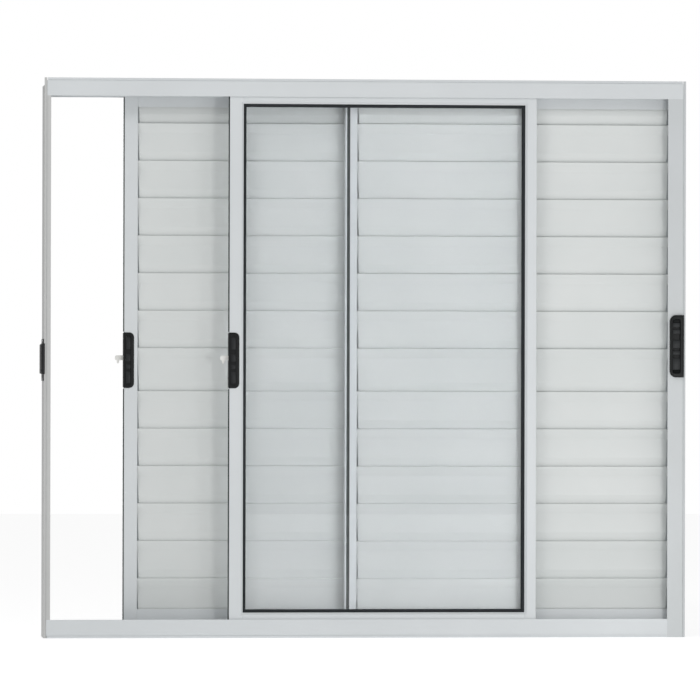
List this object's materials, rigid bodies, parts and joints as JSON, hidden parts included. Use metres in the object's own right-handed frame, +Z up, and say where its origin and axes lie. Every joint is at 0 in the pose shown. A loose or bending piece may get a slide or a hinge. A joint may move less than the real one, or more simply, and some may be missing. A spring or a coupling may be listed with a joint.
{
  "type": "sliding shuttered window",
  "caption": "White aluminium sliding window with one glazed sash and louvred shutters in a multi-track frame, shown partly open, with recessed side latches.",
  "frame": {"origin": "middle of the sill's underside, in width and in depth", "axes": "+X to the right seen from the room, +Y out through the wall, +Z up"},
  "size_m": [1.2097, 0.0908, 1.044],
  "materials": {
    "white_aluminium": "white powder coat, satin",
    "clear_glass": "clear float glass",
    "black_rubber": "matt black glazing rubber",
    "grey_pile": "grey brush pile",
    "white_plastic": "white nylon",
    "dark_plastic": "black, slightly glossy",
    "roller_nylon": "grey nylon"
  },
  "bodies": {
    "root": {"head_track": "white_aluminium", "sill_track": "white_aluminium", "jamb_left": "white_aluminium", "jamb_right": "white_aluminium", "latch_keeper": "white_aluminium", "sash_stile_left": "white_aluminium", "sash_stile_right": "white_aluminium", "sash_rail_top": "white_aluminium", "sash_rail_bottom": "white_aluminium", "shutter_left_stile_left": "white_aluminium", "shutter_left_stile_right": "white_aluminium", "shutter_left_rail_top": "white_aluminium", "shutter_left_rail_bottom": "white_aluminium", "shutter_left_slats": "white_aluminium", "shutter_right_stile_left": "white_aluminium", "shutter_right_stile_right": "white_aluminium", "shutter_right_rail_top": "white_aluminium", "shutter_right_rail_bottom": "white_aluminium", "shutter_right_slats": "white_aluminium", "sash_glass": "clear_glass", "sash_gasket": "black_rubber", "shutter_right_brush": "grey_pile", "sash_seal": "grey_pile", "shutter_left_seal": "grey_pile", "sash_latch_hook": "white_plastic", "shutter_left_latch_hook": "white_plastic", "sash_latch_shell": "dark_plastic", "sash_latch_lever": "dark_plastic", "shutter_left_latch_shell": "dark_plastic", "shutter_left_latch_lever": "dark_plastic", "jamb_latch_shell": "dark_plastic", "jamb_latch_lever": "dark_plastic", "sash_rollers": "roller_nylon", "shutter_left_rollers": "roller_nylon", "shutter_right_rollers": "roller_nylon", "sash_roller_housings": "roller_nylon", "shutter_left_roller_housings": "roller_nylon", "shutter_right_roller_housings": "roller_nylon"}
  },
  "joints": []
}
